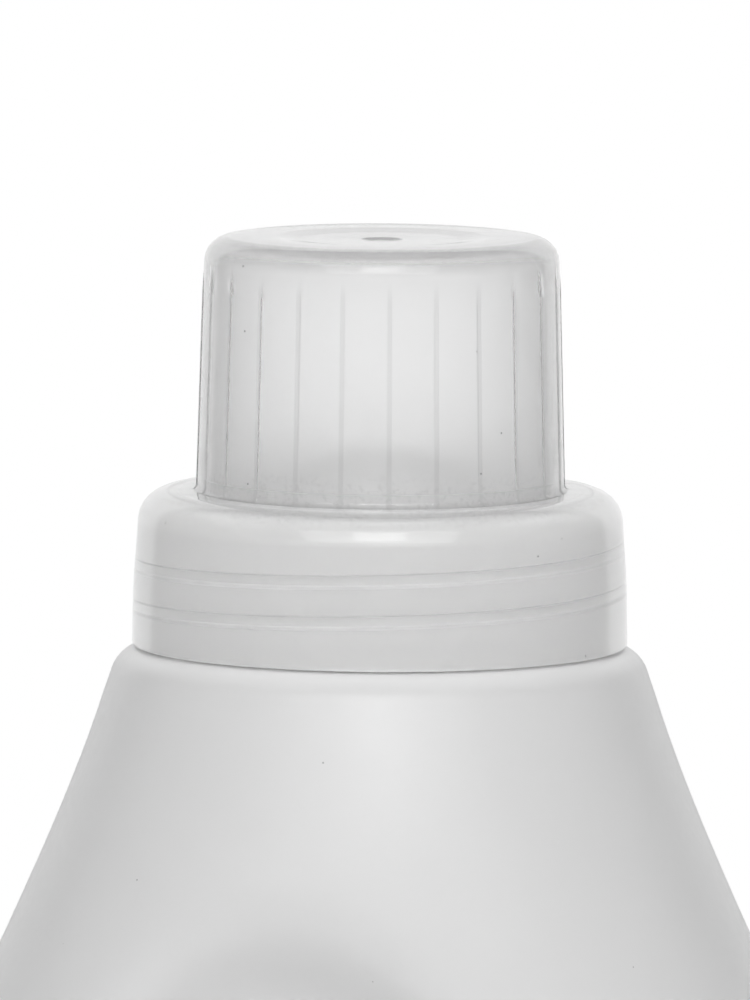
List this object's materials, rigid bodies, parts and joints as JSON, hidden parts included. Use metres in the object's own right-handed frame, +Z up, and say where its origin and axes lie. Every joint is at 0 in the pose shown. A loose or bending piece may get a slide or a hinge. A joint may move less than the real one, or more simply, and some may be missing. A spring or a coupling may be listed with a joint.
{
  "type": "fabric softener bottle",
  "caption": "Blow-moulded oval softener bottle with a flared shoulder, pinch grip, drain-back pouring insert and a screw-on ribbed dosing cap.",
  "frame": {"origin": "on the floor under the middle of the base", "axes": "+Z up along the neck, +X across the wide face, the front face towards -Y"},
  "size_m": [0.1201, 0.077, 0.245],
  "materials": {
    "blown_hdpe": "natural translucent HDPE, satin",
    "spout_pe": "natural PE, satin",
    "cap_pp": "natural translucent PP, gloss"
  },
  "bodies": {
    "pack": {"bottle": "blown_hdpe", "pour_spout": "spout_pe"},
    "cap": {"dosing_cap": "cap_pp"}
  },
  "joints": [
    {"name": "cap_lift", "type": "slide", "parent": "pack", "child": "cap", "axis": [0, 0, 1], "range_m": [0, 0.06]}
  ]
}
